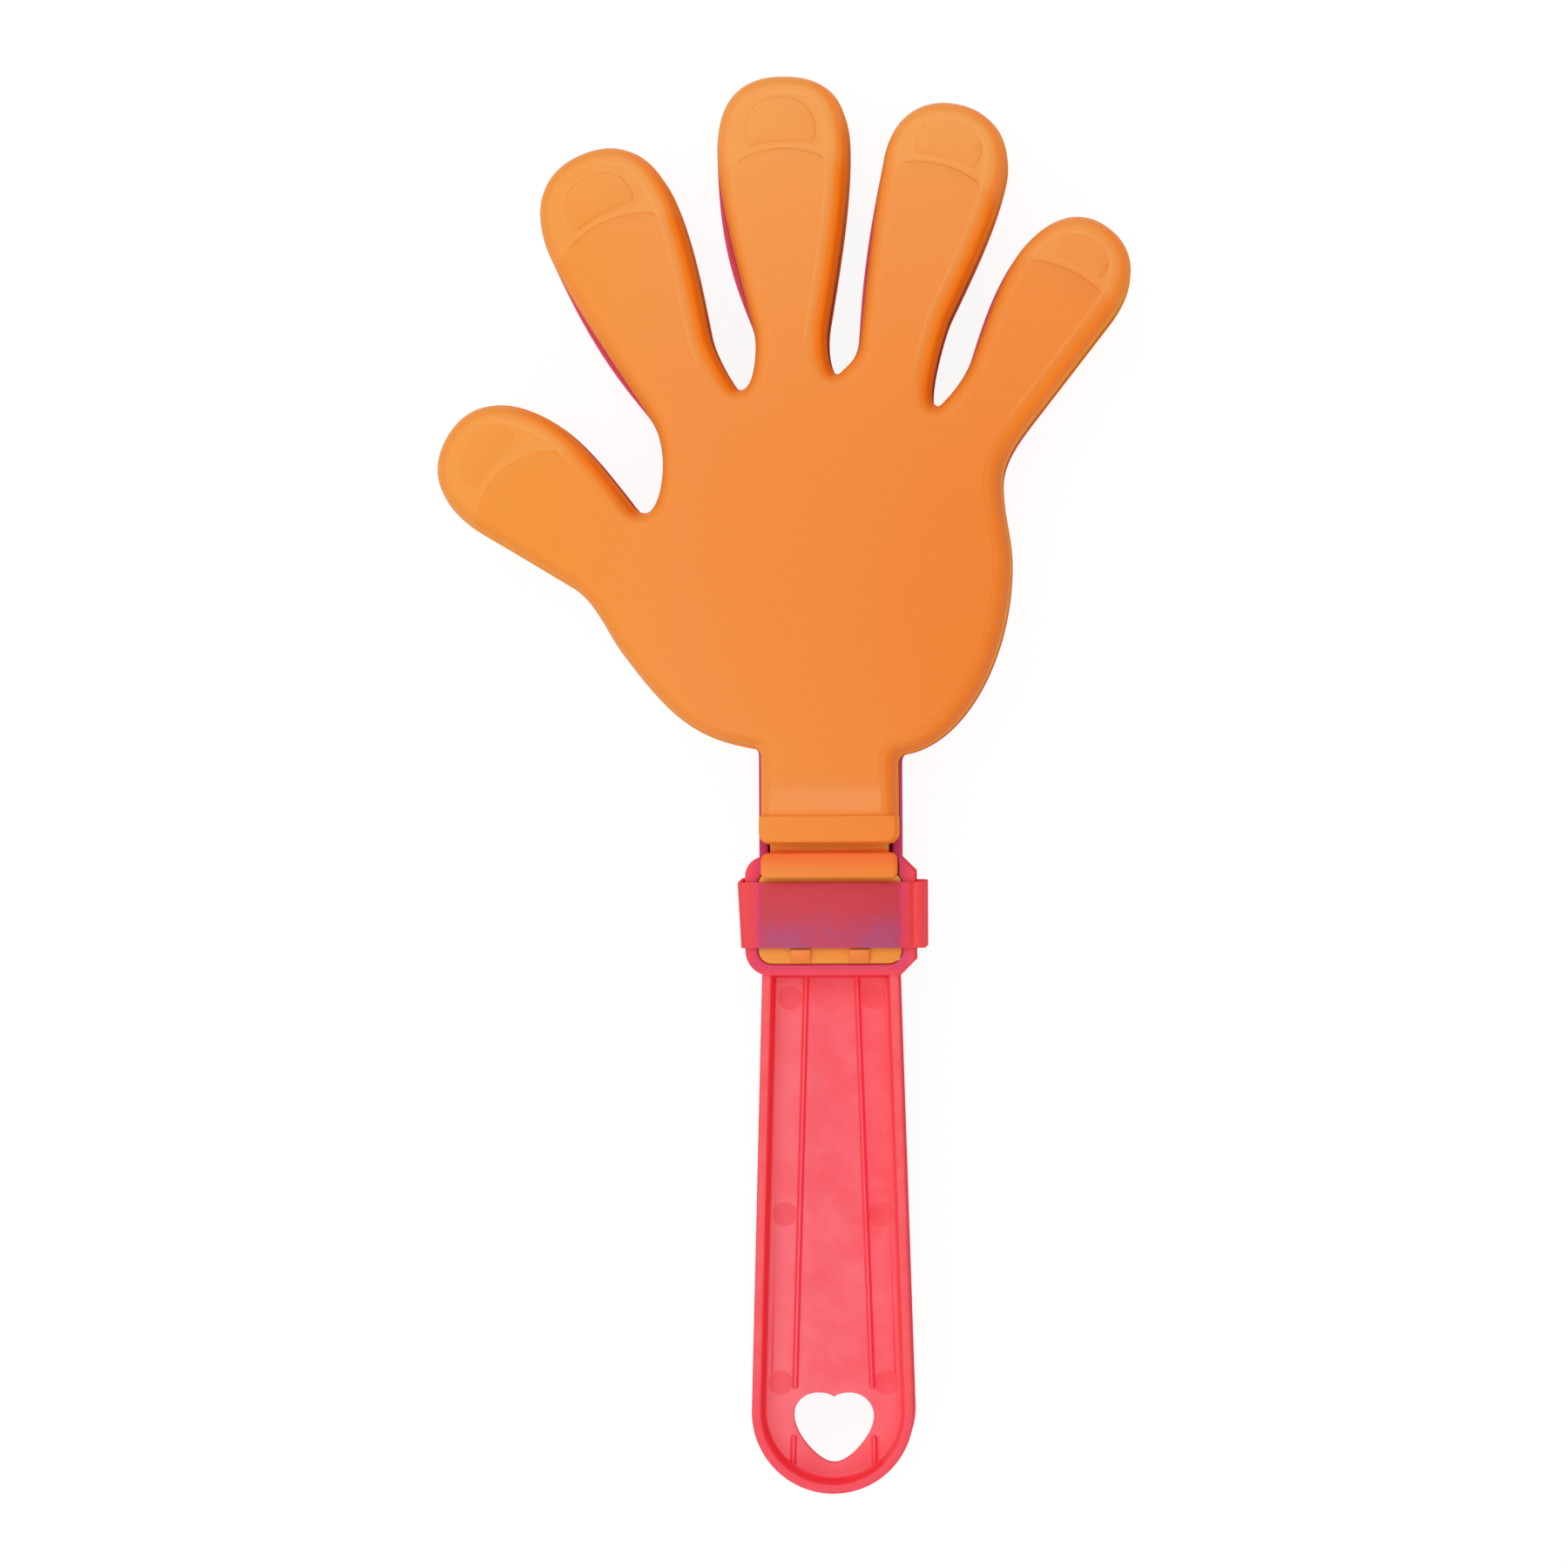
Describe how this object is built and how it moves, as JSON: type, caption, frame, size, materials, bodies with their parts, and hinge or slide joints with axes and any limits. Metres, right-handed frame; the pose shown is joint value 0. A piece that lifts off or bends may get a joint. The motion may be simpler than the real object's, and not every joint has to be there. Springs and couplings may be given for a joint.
{
  "type": "hand clapper",
  "caption": "Noisemaker of hand-shaped plastic shells on one long handle: the outer hands swing on living hinges and clap against the fixed centre hand.",
  "frame": {"origin": "under the middle of the whole part's box, on the outer face of the rear hand, which is the plane the part lies on", "axes": "+Y along the handle towards the fingertips, +Z out of the front hand, +X towards the little finger as seen from the front"},
  "size_m": [0.1372, 0.2796, 0.0246],
  "materials": {
    "orange_plastic": "satin injection-moulded polypropylene",
    "pink_plastic": "slightly translucent satin injection-moulded polypropylene"
  },
  "bodies": {
    "handle_body": {"handle": "pink_plastic", "retaining_sleeve": "pink_plastic", "front_hinge_tab": "orange_plastic", "rear_hinge_tab": "orange_plastic", "front_living_hinge": "orange_plastic", "rear_living_hinge": "orange_plastic"},
    "front_hand_body": {"front_hand": "orange_plastic"},
    "rear_hand_body": {"rear_hand": "orange_plastic"}
  },
  "joints": [
    {"name": "front_hand_flap", "type": "hinge", "parent": "handle_body", "child": "front_hand_body", "pos_m": [0.00878, -0.0125, 0.0186], "axis": [1, 0, 0], "range_deg": [0, 20], "stiffness_Nm_per_rad": 0.1},
    {"name": "rear_hand_flap", "type": "hinge", "parent": "handle_body", "child": "rear_hand_body", "pos_m": [0.00878, -0.0125, 0.006], "axis": [-1, 0, 0], "range_deg": [0, 20], "stiffness_Nm_per_rad": 0.1}
  ]
}
